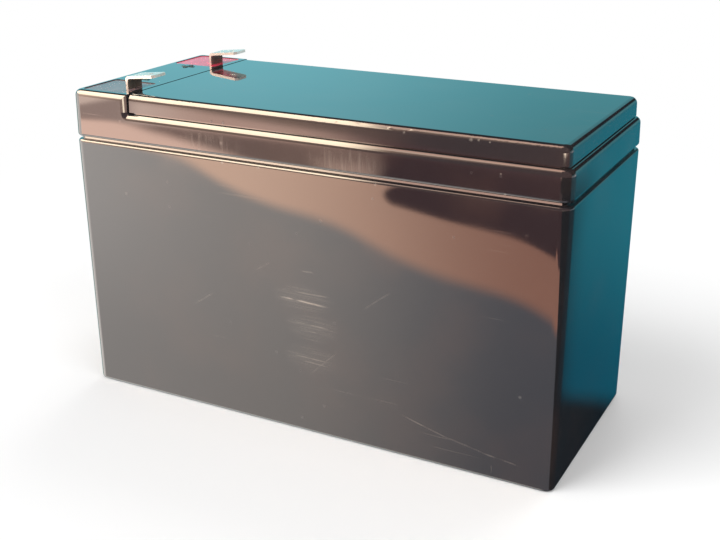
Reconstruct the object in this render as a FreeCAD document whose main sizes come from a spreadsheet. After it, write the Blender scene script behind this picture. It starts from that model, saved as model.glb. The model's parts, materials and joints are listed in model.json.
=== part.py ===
"""Sealed lead-acid battery: six cells in a moulded case, under a cemented lid and a vent cover.

Millimetres. X runs along the length, with the terminals at its low end, Y from front to rear and
Z up. The origin is the middle of the base.
"""
import FreeCAD, Part
import Sketcher
import math
import os

# Driving sizes, each set once.
SIZES = {
    # Case
    "battery_length": 151.0,
    "battery_width": 65.0,
    "corner_radius": 3.0,
    "case_height": 78.3,
    "case_draft": 0.19,
    "case_wall": 2.5,
    "case_floor": 2.5,
    "divider_wall": 1.6,
    "cell_corner": 1.0,
    "base_fillet": 1.0,
    "rim_fillet": 0.75,
    # Joint between case and lid
    "groove_depth": 1.2,
    "groove_height": 0.9,
    "lap_height": 2.8,
    "bond_clearance": 0.1,
    "seal_thickness": 1.0,
    "seal_fit": 0.05,
    # Lid
    "lid_band": 8.2,
    "lid_draft": 1.2,
    "skirt_fillet": 0.8,
    "edge_fillet": 1.8,
    "deck_wall": 2.5,
    "rib_wall": 1.2,
    "rib_clearance": 0.15,
    "block_length": 19.7,
    "block_rise": 5.5,
    "notch_fillet": 0.4,
    # Vent cover and the curb that locates it
    "ledge_width": 1.3,
    "notch_gap": 0.5,
    "cover_corner": 2.4,
    "cover_wall": 1.6,
    "cover_top": 1.6,
    "seam_height": 0.4,
    "seam_depth": 0.4,
    "curb_height": 1.5,
    "curb_wall": 1.2,
    "curb_clearance": 0.2,
    # Valves
    "valve_shift": 8.0,
    "valve_bore": 3.0,
    "tube_wall": 2.0,
    "valve_well_depth": 5.4,
    "cup_wall": 1.5,
    "cup_floor": 1.5,
    "cap_fit": 0.05,
    "cap_wall": 1.5,
    "cap_top": 1.3,
    "cap_room": 1.0,
    "cap_stand": 1.0,
    "cap_clearance": 0.1,
    "cap_fillet": 0.5,
    # Terminal wells and potting
    "pot_end_wall": 2.4,
    "pot_side_wall": 2.5,
    "pot_length": 15.5,
    "pot_width": 15.5,
    "pot_depth": 6.0,
    "pot_corner": 1.5,
    "pot_wall": 1.8,
    "potting_drop": 0.2,
    "potting_fit": 0.05,
    # Tabs and posts
    "tab_inset": 11.5,
    "tab_setback": 14.35,
    "tab_width": 6.35,
    "tab_thickness": 0.8,
    "tab_rise": 3.5,
    "tab_reach": 9.8,
    "tab_tilt": 6.0,
    "tab_foot": 8.0,
    "tab_bend": 0.4,
    "tip_chamfer": 0.8,
    "detent_hole": 1.8,
    "detent_setback": 3.4,
    "post_diameter": 7.0,
    "post_clearance": 0.1,
    "post_stand": 1.4,
    "post_foot": 9.0,
    "post_foot_height": 1.5,
    # Plates, separators and straps
    "negative_plate": 1.9,
    "positive_plate": 2.8,
    "stack_clearance": 0.2,
    "plate_side_room": 1.5,
    "mat_side_room": 0.4,
    "mat_overlap": 2.0,
    "lug_inset": 1.0,
    "lug_width": 8.0,
    "strap_gap": 3.0,
    "strap_thickness": 4.0,
    "strap_margin": 1.5,
    "strap_clearance": 0.2,
    "bridge_thickness": 3.0,
    "bridge_width": 10.0,
    "bridge_rise": 7.0,
    "bridge_headroom": 1.7,
    "link_diameter": 6.0,
    "link_clearance": 0.1,
}

NEGATIVE_PLATES = 5
POSITIVE_PLATES = 4
MAT_SIDES = 2 * POSITIVE_PLATES
COLUMNS = 3

# Sizes that follow from the driving ones.
DERIVED = {
    "half_length": "battery_length / 2",
    "half_width": "battery_width / 2",
    "cell_length": f"(battery_length - 2 * case_wall - {COLUMNS - 1} * divider_wall) / {COLUMNS}",
    "cell_width": "(battery_width - 2 * case_wall - divider_wall) / 2",
    "cell_pitch": "cell_length + divider_wall",
    "row_offset": "(cell_width + divider_wall) / 2",
    "lid_bottom": "case_height + groove_height",
    "rim_top": "lid_bottom + lap_height",
    "channel_roof": "rim_top + seal_thickness",
    "ledge_level": "lid_bottom + lid_band",
    "top_level": "ledge_level + block_rise",
    "deck_underside": "ledge_level - deck_wall",
    "skirt_wall": "groove_depth - bond_clearance",
    "hollow_inset": "rib_clearance + rib_wall",
    "block_edge": "block_length - half_length",
    "cover_left": "block_edge + notch_gap",
    "cover_right": "half_length - ledge_width",
    "cover_side": "half_width - ledge_width",
    "cover_roof": "top_level - cover_top",
    "curb_inset": "cover_wall + curb_clearance",
    "tube_top": "cover_roof - cap_clearance - cap_top",
    "tube_radius": "valve_bore / 2 + tube_wall",
    "cap_bore": "tube_radius + cap_fit",
    "cap_radius": "cap_bore + cap_wall",
    "valve_floor": "ledge_level - valve_well_depth",
    "valve_well": "cap_radius + cap_room",
    "valve_cup": "valve_well + cup_wall",
    "cup_bottom": "valve_floor - cup_floor",
    "pot_left": "pot_end_wall - half_length",
    "pot_right": "pot_left + pot_length",
    "pot_outer": "half_width - pot_side_wall",
    "pot_inner": "pot_outer - pot_width",
    "pot_floor": "top_level - pot_depth",
    "core_inner": "divider_wall / 2 + hollow_inset",
    "core_outer": "pot_inner - pot_wall",
    "tab_line": "tab_setback - half_length",
    "tab_offset": "half_width - tab_inset",
    "tab_level": "pot_floor + post_stand",
    "blade_level": "top_level + tab_rise",
    "blade_slope": "tan(tab_tilt * 1 deg)",
    "blade_drop": "tab_thickness / cos(tab_tilt * 1 deg)",
    "post_line": "tab_line - tab_foot / 2",
    "mat": f"(cell_width - 2 * stack_clearance - {NEGATIVE_PLATES} * negative_plate"
           f" - {POSITIVE_PLATES} * positive_plate) / {MAT_SIDES}",
    "plate_pitch": "negative_plate + positive_plate + 2 * mat",
    "plate_base": "case_floor + mat",
    "strap_top": "lid_bottom - bridge_headroom - bridge_rise",
    "strap_level": "strap_top - strap_thickness",
    "plate_top": "strap_level - strap_gap",
    "plate_half": "cell_length / 2 - plate_side_room",
    "mat_half": "cell_length / 2 - mat_side_room",
    "lug_outer": "plate_half - lug_inset",
    "lug_inner": "lug_outer - lug_width",
    "strap_outer": "cell_length / 2 - strap_clearance",
    "strap_inner": "lug_inner - strap_margin",
    "strap_middle": "(strap_outer + strap_inner) / 2",
    "strap_half": "cell_width / 2 - strap_clearance",
    "link_level": "strap_top + bridge_rise / 2",
    "link_radius": "link_diameter / 2",
}

NEAR = 1e-4

doc = FreeCAD.newDocument("battery")
sheet = doc.addObject("Spreadsheet::Sheet", "dims")
sub_parts = []


# Sheet

def fill_sheet():
    """Writes the driving sizes as numbers and the derived ones as formulas, each with its alias."""
    cells = [(alias, str(number)) for alias, number in SIZES.items()]
    cells += [(alias, f"={formula}") for alias, formula in DERIVED.items()]
    for row, (alias, content) in enumerate(cells, start=1):
        sheet.set(f"A{row}", alias)
        sheet.set(f"B{row}", content)
        sheet.setAlias(f"B{row}", alias)
    doc.recompute()


def value(text):
    """Number that an expression on the sheet stands for."""
    return float(sheet.evalExpression(text))


# Sketches

def new_body(label):
    """Empty body that becomes one sub-part."""
    return doc.addObject("PartDesign::Body", label)


def origin_feature(body, role):
    """Plane or axis of a body's own origin."""
    return next(item for item in body.Origin.OriginFeatures if item.Role == role)


def new_sketch(body, name, plane="XY_Plane", level=None):
    """Empty sketch on a plane of the body, moved to a level along the plane's normal."""
    sketch = body.newObject("Sketcher::SketchObject", f"{body.Name}_{name}")
    sketch.AttachmentSupport = [(origin_feature(body, plane), "")]
    sketch.MapMode = "FlatFace"
    if level:
        sketch.setExpression("AttachmentOffset.Base.z", level)
    return sketch


def tie(geometry, point, across=None, along=None):
    """Rules that tie a point to the sketch's origin, each with the expression that drives it."""
    rules = []
    for kind, axis, text in (("DistanceX", -2, across), ("DistanceY", -1, along)):
        if text == "0":
            rules.append((Sketcher.Constraint("PointOnObject", geometry, point, axis), None))
        elif text:
            rules.append((Sketcher.Constraint(kind, -1, 1, geometry, point, value(text)), text))
    return rules


def apply_rules(sketch, rules):
    """Adds the rules to a sketch together and binds those that have an expression."""
    indexes = sketch.addConstraint([rule for rule, _ in rules])
    for index, (_, text) in zip(indexes, rules):
        if text:
            sketch.setExpression(f"Constraints[{index}]", text)


def polygon(sketch, corners):
    """Closed outline of straight sides, with a pair of expressions for each corner."""
    points = [FreeCAD.Vector(value(across), value(along), 0) for across, along in corners]
    first = sketch.GeometryCount
    following = list(range(first + 1, first + len(points))) + [first]
    rules = []
    for index, (across, along) in enumerate(corners):
        side = sketch.addGeometry(Part.LineSegment(points[index], points[following[index] - first]))
        rules.append((Sketcher.Constraint("Coincident", side, 2, following[index], 1), None))
        rules += tie(side, 1, across, along)
    apply_rules(sketch, rules)


def rectangle(sketch, left, right, low, high):
    """Sharp rectangle between four expressions."""
    polygon(sketch, ((left, low), (right, low), (right, high), (left, high)))


def rounded_rectangle(sketch, left, right, low, high, radius):
    """Rectangle with four equal corner arcs, between four expressions."""
    x_low, x_high, y_low, y_high, bend = (value(text) for text in (left, right, low, high, radius))
    centres = (
        (x_high - bend, y_low + bend),
        (x_high - bend, y_high - bend),
        (x_low + bend, y_high - bend),
        (x_low + bend, y_low + bend),
    )
    arcs = []
    for quarter, (across, along) in enumerate(centres):
        round_corner = Part.Circle(FreeCAD.Vector(across, along, 0), FreeCAD.Vector(0, 0, 1), bend)
        start = (quarter - 1) * math.pi / 2
        arcs.append(sketch.addGeometry(Part.ArcOfCircle(round_corner, start, start + math.pi / 2)))
    rules = [(Sketcher.Constraint("Radius", arcs[0], bend), radius)]
    rules += [(Sketcher.Constraint("Equal", arcs[0], arc), None) for arc in arcs[1:]]
    places = ((right, None), (None, high), (left, None), (None, low))
    for arc, following, (across, along) in zip(arcs, arcs[1:] + arcs[:1], places):
        ends = (sketch.Geometry[arc].EndPoint, sketch.Geometry[following].StartPoint)
        side = sketch.addGeometry(Part.LineSegment(*ends))
        rules.append((Sketcher.Constraint("Tangent", arc, 2, side, 1), None))
        rules.append((Sketcher.Constraint("Tangent", side, 2, following, 1), None))
        rules.append((Sketcher.Constraint("Vertical" if across else "Horizontal", side), None))
        rules += tie(side, 1, across, along)
    apply_rules(sketch, rules)


def circle(sketch, across, along, radius):
    """Circle with its centre and radius tied to expressions."""
    centre = FreeCAD.Vector(value(across), value(along), 0)
    ring = sketch.addGeometry(Part.Circle(centre, FreeCAD.Vector(0, 0, 1), value(radius)))
    rules = tie(ring, 3, across, along)
    rules.append((Sketcher.Constraint("Radius", ring, value(radius)), radius))
    apply_rules(sketch, rules)


# Features

def pad(body, sketch, length, reverse=False, symmetric=False, draft=None):
    """Pads a sketch along its normal, against it, or to both sides alike."""
    feature = body.newObject("PartDesign::Pad", f"{sketch.Name}_pad")
    feature.Profile = sketch
    feature.Reversed = reverse
    feature.SideType = "Symmetric" if symmetric else "One side"
    feature.setExpression("Length", length)
    if draft:
        feature.setExpression("TaperAngle", draft)
    doc.recompute()
    return feature


def pocket(body, sketch, length, up=False, symmetric=False):
    """Cuts a sketch into the body and makes sure that material was taken away."""
    before = body.Shape.Volume
    feature = body.newObject("PartDesign::Pocket", f"{sketch.Name}_pocket")
    feature.Profile = sketch
    feature.Reversed = up
    feature.SideType = "Symmetric" if symmetric else "One side"
    feature.setExpression("Length", length)
    doc.recompute()
    if not feature.Shape.Volume < before - NEAR:
        raise ValueError(f"{feature.Name} cuts nothing")
    return feature


def row_pattern(body, feature, copies, pitch):
    """Repeats a feature along Y at an even pitch."""
    pattern = body.newObject("PartDesign::LinearPattern", f"{feature.Name}_row")
    pattern.Originals = [feature]
    pattern.Direction = (origin_feature(body, "Y_Axis"), [""])
    pattern.Occurrences = copies
    pattern.setExpression("Length", f"{copies - 1} * {pitch}")
    body.Tip = pattern
    doc.recompute()
    return pattern


def revolve(body, sketch):
    """Turns a sketch all round its vertical axis."""
    feature = body.newObject("PartDesign::Revolution", f"{sketch.Name}_turn")
    feature.Profile = sketch
    feature.ReferenceAxis = (sketch, ["V_Axis"])
    feature.Angle = 360
    doc.recompute()
    return feature


def edge_feature(body, kind, name, size, wanted):
    """Fillets or chamfers the edges of the body that pass a test."""
    base = body.Tip
    edges = [f"Edge{index}" for index, edge in enumerate(base.Shape.Edges, start=1) if wanted(edge)]
    feature = body.newObject(f"PartDesign::{kind}", f"{body.Name}_{name}")
    feature.Base = (base, edges)
    feature.setExpression("Radius" if kind == "Fillet" else "Size", size)
    doc.recompute()
    return feature


def at_level(edge, level):
    """True for an edge that lies flat at a height."""
    box = edge.BoundBox
    return abs(box.ZMin - value(level)) < NEAR and abs(box.ZMax - value(level)) < NEAR


def is_upright(edge, height):
    """True for an edge that climbs the full height."""
    return abs(edge.BoundBox.ZLength - value(height)) < NEAR


# Cells

def row_signs():
    """Front row, then rear row."""
    return (-1, 1)


def cell_centre(column, row):
    """Expressions for the middle of a cell, by column from the low end and by the row's sign."""
    across = f"{column - (COLUMNS - 1) // 2} * dims.cell_pitch"
    return across, f"{row} * dims.row_offset"


def cell_outlines(sketch, inset, radius):
    """Six cell outlines, each drawn in by an inset."""
    for row in row_signs():
        for column in range(COLUMNS):
            across, along = cell_centre(column, row)
            half_x = f"(dims.cell_length / 2 - {inset})"
            half_y = f"(dims.cell_width / 2 - {inset})"
            rounded_rectangle(
                sketch,
                f"{across} - {half_x}",
                f"{across} + {half_x}",
                f"{along} - {half_y}",
                f"{along} + {half_y}",
                radius,
            )


def battery_outline(sketch, inset):
    """Outer outline of the battery, drawn in by an inset, with its corners kept concentric."""
    rounded_rectangle(
        sketch,
        f"{inset} - dims.half_length",
        f"dims.half_length - {inset}",
        f"{inset} - dims.half_width",
        f"dims.half_width - {inset}",
        f"dims.corner_radius - {inset}",
    )


# Case

def build_case():
    """Drafted container with six cells, a rebated rim and the holes for the cell links."""
    body = new_body("case")
    outline = new_sketch(body, "outline", level="dims.case_height")
    battery_outline(outline, "0")
    pad(body, outline, "dims.case_height", reverse=True, draft="-dims.case_draft")
    edge_feature(body, "Fillet", "base", "dims.base_fillet", lambda edge: at_level(edge, "0"))
    edge_feature(
        body, "Fillet", "rim_edge", "dims.rim_fillet", lambda edge: at_level(edge, "dims.case_height")
    )

    rim = new_sketch(body, "rim", level="dims.case_height")
    battery_outline(rim, "dims.groove_depth")
    pad(body, rim, "dims.rim_top - dims.case_height")

    cells = new_sketch(body, "cells", level="dims.rim_top")
    cell_outlines(cells, "0", "dims.cell_corner")
    pocket(body, cells, "dims.rim_top - dims.case_floor")

    side_links = new_sketch(body, "side_links", "YZ_Plane")
    for row in row_signs():
        circle(side_links, f"{row} * dims.row_offset", "dims.link_level", "dims.link_radius")
    pocket(body, side_links, "2 * dims.cell_pitch", symmetric=True)

    cross_link = new_sketch(body, "cross_link", "XZ_Plane")
    circle(cross_link, "dims.cell_pitch + dims.strap_middle", "dims.link_level", "dims.link_radius")
    pocket(body, cross_link, "dims.cell_width", symmetric=True)
    sub_parts.append(body)


# Lid

def on_side_wall(shape, edge):
    """True for an edge between a drafted side wall of the lid and a face above it."""
    low = value("dims.lid_bottom")
    if edge.BoundBox.ZMax < low + NEAR:
        return False
    faces = shape.ancestorsOfType(edge, Part.Face)
    walls = [face for face in faces if face.BoundBox.ZMin < low + NEAR and face.BoundBox.ZLength > NEAR]
    return len(walls) == 1


def shape_lid_outside(body):
    """Band, terminal block and cover seat, with their rounded edges."""
    outline = new_sketch(body, "outline", level="dims.lid_bottom")
    battery_outline(outline, "0")
    pad(body, outline, "dims.top_level - dims.lid_bottom", draft="-dims.lid_draft")

    seat = new_sketch(body, "seat", level="dims.top_level")
    rectangle(seat, "dims.block_edge", "dims.half_length", "-dims.half_width", "dims.half_width")
    pocket(body, seat, "dims.block_rise")

    corner = value("dims.block_edge")
    edge_feature(
        body, "Fillet", "notch", "dims.notch_fillet",
        lambda edge: at_level(edge, "dims.ledge_level") and edge.BoundBox.XMax < corner + NEAR,
    )
    body_shape = body.Tip.Shape
    edge_feature(
        body, "Fillet", "edges", "dims.edge_fillet", lambda edge: on_side_wall(body_shape, edge)
    )
    edge_feature(
        body, "Fillet", "skirt", "dims.skirt_fillet", lambda edge: at_level(edge, "dims.lid_bottom")
    )


def hollow_lid(body):
    """Sealing channel round six rib frames, the hollow over each cell and the cores of the block."""
    channel = new_sketch(body, "channel", level="dims.lid_bottom")
    battery_outline(channel, "dims.skirt_wall")
    cell_outlines(channel, "dims.rib_clearance", "dims.cell_corner - dims.rib_clearance")
    pocket(body, channel, "dims.channel_roof - dims.lid_bottom", up=True)

    hollows = new_sketch(body, "hollows", level="dims.lid_bottom")
    cell_outlines(hollows, "dims.hollow_inset", "dims.cell_corner")
    pocket(body, hollows, "dims.deck_underside - dims.lid_bottom", up=True)

    cores = new_sketch(body, "cores", level="dims.deck_underside")
    rectangle(cores, "dims.pot_left", "dims.pot_right", "-dims.core_outer", "-dims.core_inner")
    rectangle(cores, "dims.pot_left", "dims.pot_right", "dims.core_inner", "dims.core_outer")
    pocket(body, cores, "dims.block_rise", up=True)


def valve_places():
    """Expressions for the middle of each valve, in the order of the cells."""
    places = []
    for row in row_signs():
        for column in range(COLUMNS):
            across, along = cell_centre(column, row)
            places.append((f"{across} + dims.valve_shift", along))
    return places


def valve_circles(body, name, level, radius):
    """Sketch with one circle at each valve."""
    sketch = new_sketch(body, name, level=level)
    for across, along in valve_places():
        circle(sketch, across, along, radius)
    return sketch


def add_valve_seats(body):
    """Six sunk wells, each with a vent tube that a cap fits over."""
    cups = valve_circles(body, "cups", "dims.cup_bottom", "dims.valve_cup")
    pad(body, cups, "dims.deck_underside - dims.cup_bottom")
    wells = valve_circles(body, "wells", "dims.ledge_level", "dims.valve_well")
    pocket(body, wells, "dims.valve_well_depth")
    tubes = valve_circles(body, "tubes", "dims.valve_floor", "dims.tube_radius")
    pad(body, tubes, "dims.tube_top - dims.valve_floor")
    bores = valve_circles(body, "bores", "dims.tube_top", "dims.valve_bore / 2")
    pocket(body, bores, "dims.tube_top - dims.cup_bottom")


def add_curb(body):
    """Low curb on the deck that fits inside the vent cover."""
    curb = new_sketch(body, "curb", level="dims.ledge_level")
    for inset in ("dims.curb_inset", "(dims.curb_inset + dims.curb_wall)"):
        rectangle(
            curb,
            f"dims.cover_left + {inset}",
            f"dims.cover_right - {inset}",
            f"{inset} - dims.cover_side",
            f"dims.cover_side - {inset}",
        )
    pad(body, curb, "dims.curb_height")


def pot_outline(sketch, row, fit):
    """Outline of a terminal well, drawn in by a fit."""
    low, high = ("dims.pot_inner", "dims.pot_outer") if row > 0 else ("-dims.pot_outer", "-dims.pot_inner")
    rounded_rectangle(
        sketch,
        f"dims.pot_left + {fit}",
        f"dims.pot_right - {fit}",
        f"{low} + {fit}",
        f"{high} - {fit}",
        f"dims.pot_corner - {fit}",
    )


def add_terminal_wells(body):
    """Two wells in the block, each with a hole for its post."""
    pots = new_sketch(body, "pots", level="dims.top_level")
    holes = new_sketch(body, "post_holes", level="dims.pot_floor")
    for row in row_signs():
        pot_outline(pots, row, "0")
        circle(
            holes, "dims.post_line", f"{row} * dims.tab_offset",
            "dims.post_diameter / 2 + dims.post_clearance",
        )
    pocket(body, pots, "dims.pot_depth")
    pocket(body, holes, "dims.pot_floor - dims.deck_underside")


def build_lid():
    """Moulded lid with its block, seats, ribs and wells."""
    body = new_body("lid")
    shape_lid_outside(body)
    hollow_lid(body)
    add_valve_seats(body)
    add_curb(body)
    add_terminal_wells(body)
    sub_parts.append(body)


def build_lid_seal():
    """Lattice of cement between the rim, the dividers and the roof of the lid's channel."""
    body = new_body("lid_seal")
    lattice = new_sketch(body, "lattice", level="dims.rim_top")
    battery_outline(lattice, "(dims.skirt_wall + dims.seal_fit)")
    cell_outlines(
        lattice, "(dims.rib_clearance - dims.seal_fit)",
        "dims.cell_corner - dims.rib_clearance + dims.seal_fit",
    )
    pad(body, lattice, "dims.seal_thickness")
    sub_parts.append(body)


# Vent cover and valve caps

def build_vent_cover():
    """Drafted tray, open below, on a foot that is set in, with its three outer edges rounded."""
    body = new_body("vent_cover")
    skirt_level = "dims.ledge_level + dims.seam_height"
    skirt_height = "dims.block_rise - dims.seam_height"
    outline = new_sketch(body, "outline", level=skirt_level)
    rectangle(outline, "dims.cover_left", "dims.cover_right", "-dims.cover_side", "dims.cover_side")
    pad(body, outline, skirt_height, draft="-dims.lid_draft")

    middle = (value("dims.cover_left") + value("dims.cover_right")) / 2
    edge_feature(
        body, "Fillet", "corners", "dims.cover_corner",
        lambda edge: is_upright(edge, skirt_height) and edge.CenterOfMass.x > middle,
    )
    edge_feature(
        body, "Fillet", "edges", "dims.edge_fillet",
        lambda edge: at_level(edge, "dims.top_level") and edge.BoundBox.XMax > middle,
    )

    foot = new_sketch(body, "foot", level="dims.ledge_level")
    rounded_rectangle(
        foot,
        "dims.cover_left",
        "dims.cover_right - dims.seam_depth",
        "dims.seam_depth - dims.cover_side",
        "dims.cover_side - dims.seam_depth",
        "dims.cover_corner - dims.seam_depth",
    )
    pad(body, foot, "dims.seam_height")

    inside = new_sketch(body, "inside", level="dims.ledge_level")
    rectangle(
        inside,
        "dims.cover_left + dims.cover_wall",
        "dims.cover_right - dims.cover_wall",
        "dims.cover_wall - dims.cover_side",
        "dims.cover_side - dims.cover_wall",
    )
    pocket(body, inside, "dims.block_rise - dims.cover_top", up=True)
    sub_parts.append(body)


def build_valve_caps():
    """Six rubber caps, each over its vent tube and just under the vent cover."""
    skirt = "dims.valve_floor + dims.cap_stand"
    crown = "dims.tube_top + dims.cap_top"
    for number, (across, along) in enumerate(valve_places(), start=1):
        body = new_body(f"valve_cap_{number}")
        section = new_sketch(body, "section", "XZ_Plane")
        polygon(section, (
            ("0", "dims.tube_top"),
            ("dims.cap_bore", "dims.tube_top"),
            ("dims.cap_bore", skirt),
            ("dims.cap_radius", skirt),
            ("dims.cap_radius", crown),
            ("0", crown),
        ))
        revolve(body, section)
        edge_feature(body, "Fillet", "crown", "dims.cap_fillet", lambda edge: at_level(edge, crown))
        body.setExpression("Placement.Base.x", across)
        body.setExpression("Placement.Base.y", along)
        sub_parts.append(body)


# Terminals

def near_line(edge, across, height):
    """True for an edge along Y through a point of the XZ plane."""
    box = edge.BoundBox
    flat = box.XLength < NEAR and box.ZLength < NEAR
    return flat and abs(box.XMin - value(across)) < NEAR and abs(box.ZMin - value(height)) < NEAR


def build_tab(label, row):
    """Bent blade: a foot in the potting, an upright leg and a tilted blade with a detent hole."""
    outer = "dims.tab_line - dims.tab_thickness / 2"
    inner = "dims.tab_line + dims.tab_thickness / 2"
    foot_end = "dims.tab_line - dims.tab_foot"
    foot_top = "dims.tab_level + dims.tab_thickness"
    tip = "dims.tab_line + dims.tab_reach"
    tip_top = "dims.blade_level + (dims.tab_reach + dims.tab_thickness / 2) * dims.blade_slope"
    under_bend = "dims.blade_level + dims.tab_thickness * dims.blade_slope - dims.blade_drop"
    corners = (
        (foot_end, "dims.tab_level"),
        (inner, "dims.tab_level"),
        (inner, under_bend),
        (f"{tip} + dims.tab_thickness * sin(dims.tab_tilt * 1 deg)",
         f"{tip_top} - dims.tab_thickness * cos(dims.tab_tilt * 1 deg)"),
        (tip, tip_top),
        (outer, "dims.blade_level"),
        (outer, foot_top),
        (foot_end, foot_top),
    )
    body = new_body(label)
    section = new_sketch(body, "section", "XZ_Plane")
    polygon(section, corners)
    pad(body, section, "dims.tab_width", symmetric=True)

    inside_bends = ((inner, under_bend), (outer, foot_top))
    outside_bends = ((outer, "dims.blade_level"), (inner, "dims.tab_level"))
    edge_feature(
        body, "Fillet", "inside_bends", "dims.tab_bend",
        lambda edge: any(near_line(edge, *bend) for bend in inside_bends),
    )
    edge_feature(
        body, "Fillet", "outside_bends", "dims.tab_bend + dims.tab_thickness",
        lambda edge: any(near_line(edge, *bend) for bend in outside_bends),
    )
    tip_start = value(tip)
    edge_feature(
        body, "Chamfer", "tip", "dims.tip_chamfer",
        lambda edge: edge.BoundBox.XMin > tip_start - NEAR and edge.BoundBox.YLength < NEAR,
    )

    hole = new_sketch(body, "detent", level=f"{tip_top} - dims.detent_setback * dims.blade_slope")
    hole.setExpression("AttachmentOffset.Base.x", f"{tip} - dims.detent_setback")
    hole.AttachmentOffset.Rotation = FreeCAD.Rotation(FreeCAD.Vector(0, 1, 0), -value("dims.tab_tilt"))
    hole.setExpression("AttachmentOffset.Rotation.Angle", "-dims.tab_tilt")
    circle(hole, "0", "0", "dims.detent_hole / 2")
    pocket(body, hole, "2 * dims.tab_thickness")
    body.setExpression("Placement.Base.y", f"{row} * dims.tab_offset")
    sub_parts.append(body)
    return body


def build_post(label, row):
    """Lead post with a wide foot on the end strap, up to the foot of the tab."""
    body = new_body(label)
    section = new_sketch(body, "section", "XZ_Plane")
    polygon(section, (
        ("0", "dims.strap_top"),
        ("dims.post_foot / 2", "dims.strap_top"),
        ("dims.post_diameter / 2", "dims.strap_top + dims.post_foot_height"),
        ("dims.post_diameter / 2", "dims.tab_level"),
        ("0", "dims.tab_level"),
    ))
    revolve(body, section)
    body.setExpression("Placement.Base.x", "dims.post_line")
    body.setExpression("Placement.Base.y", f"{row} * dims.tab_offset")
    sub_parts.append(body)
    return body


def build_potting(label, row, tab, post):
    """Potting that fills a terminal well round its tab and post."""
    fill = new_body(f"{label}_fill")
    outline = new_sketch(fill, "outline", level="dims.pot_floor")
    pot_outline(outline, row, "dims.potting_fit")
    pad(fill, outline, "dims.pot_depth - dims.potting_drop")
    round_tab = doc.addObject("Part::Cut", f"{label}_round_tab")
    round_tab.Base = fill
    round_tab.Tool = tab
    potting = doc.addObject("Part::Cut", label)
    potting.Base = round_tab
    potting.Tool = post
    doc.recompute()
    sub_parts.append(potting)


def build_terminals():
    """Tab, post and potting at the front and the rear of the block."""
    for sign, row in (("negative", -1), ("positive", 1)):
        tab = build_tab(f"{sign}_tab", row)
        post = build_post(f"{sign}_post", row)
        build_potting(f"{sign}_seal", row, tab, post)


# Cell contents

def mirrored(low, high, side):
    """Pair of expressions for a span, on the high side or turned over to the low side."""
    return (low, high) if side > 0 else (f"-({high})", f"-({low})")


def plate_corners(side):
    """Outline of a plate in XZ, with its lug at one end."""
    lug_top = "dims.strap_level + dims.strap_thickness / 2"
    lug_low, lug_high = mirrored("dims.lug_inner", "dims.lug_outer", side)
    return (
        ("-dims.plate_half", "dims.plate_base"),
        ("dims.plate_half", "dims.plate_base"),
        ("dims.plate_half", "dims.plate_top"),
        (lug_high, "dims.plate_top"),
        (lug_high, lug_top),
        (lug_low, lug_top),
        (lug_low, "dims.plate_top"),
        ("-dims.plate_half", "dims.plate_top"),
    )


def add_side_bridge(body, side):
    """Upright bridge at the cell's end, with a stub that meets the next cell's in the divider."""
    bridge = new_sketch(body, "bridge", level="dims.strap_top")
    left, right = mirrored("dims.strap_outer - dims.bridge_thickness", "dims.strap_outer", side)
    rectangle(bridge, left, right, "-dims.bridge_width / 2", "dims.bridge_width / 2")
    pad(body, bridge, "dims.bridge_rise")
    stub = new_sketch(body, "stub", "YZ_Plane", f"{side} * dims.strap_outer")
    circle(stub, "0", "dims.link_level", "dims.link_radius - dims.link_clearance")
    pad(body, stub, "dims.strap_clearance + dims.divider_wall / 2", reverse=side < 0)


def add_cross_bridge(body, side):
    """Upright bridge beside the middle divider, with a stub that meets the other row's."""
    bridge = new_sketch(body, "bridge", level="dims.strap_top")
    left, right = mirrored(
        "dims.strap_middle - dims.bridge_width / 2", "dims.strap_middle + dims.bridge_width / 2", side
    )
    rectangle(bridge, left, right, "dims.strap_half - dims.bridge_thickness", "dims.strap_half")
    pad(body, bridge, "dims.bridge_rise")
    stub = new_sketch(body, "stub", "XZ_Plane", "-dims.strap_half")
    circle(stub, f"{side} * dims.strap_middle", "dims.link_level", "dims.link_radius - dims.link_clearance")
    pad(body, stub, "dims.strap_clearance + dims.divider_wall / 2", reverse=True)


def build_plate_group(label, side, plates, thickness, bridge):
    """Plates of one polarity in one cell, cast on a strap over their lugs."""
    body = new_body(label)
    plate = new_sketch(body, "plate", "XZ_Plane", f"{(plates - 1) / 2} * dims.plate_pitch")
    polygon(plate, plate_corners(side))
    first = pad(body, plate, thickness, symmetric=True)
    row_pattern(body, first, plates, "dims.plate_pitch")
    strap = new_sketch(body, "strap", level="dims.strap_level")
    left, right = mirrored("dims.strap_inner", "dims.strap_outer", side)
    rounded_rectangle(strap, left, right, "-dims.strap_half", "dims.strap_half", "dims.cell_corner")
    pad(body, strap, "dims.strap_thickness")
    if bridge:
        bridge(body, side)
    return body


def build_separators(label):
    """Folded glass mats, one round each positive plate."""
    body = new_body(label)
    fold = new_sketch(body, "fold", "YZ_Plane")
    middle = f"{-(POSITIVE_PLATES - 1) / 2} * dims.plate_pitch"
    slot = "dims.positive_plate / 2"
    outside = f"({slot} + dims.mat)"
    top = "dims.plate_top + dims.mat_overlap"
    polygon(fold, (
        (f"{middle} - {outside}", "dims.case_floor"),
        (f"{middle} + {outside}", "dims.case_floor"),
        (f"{middle} + {outside}", top),
        (f"{middle} + {slot}", top),
        (f"{middle} + {slot}", "dims.plate_base"),
        (f"{middle} - {slot}", "dims.plate_base"),
        (f"{middle} - {slot}", top),
        (f"{middle} - {outside}", top),
    ))
    mat = pad(body, fold, "2 * dims.mat_half", symmetric=True)
    row_pattern(body, mat, POSITIVE_PLATES, "dims.plate_pitch")
    return body


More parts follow.
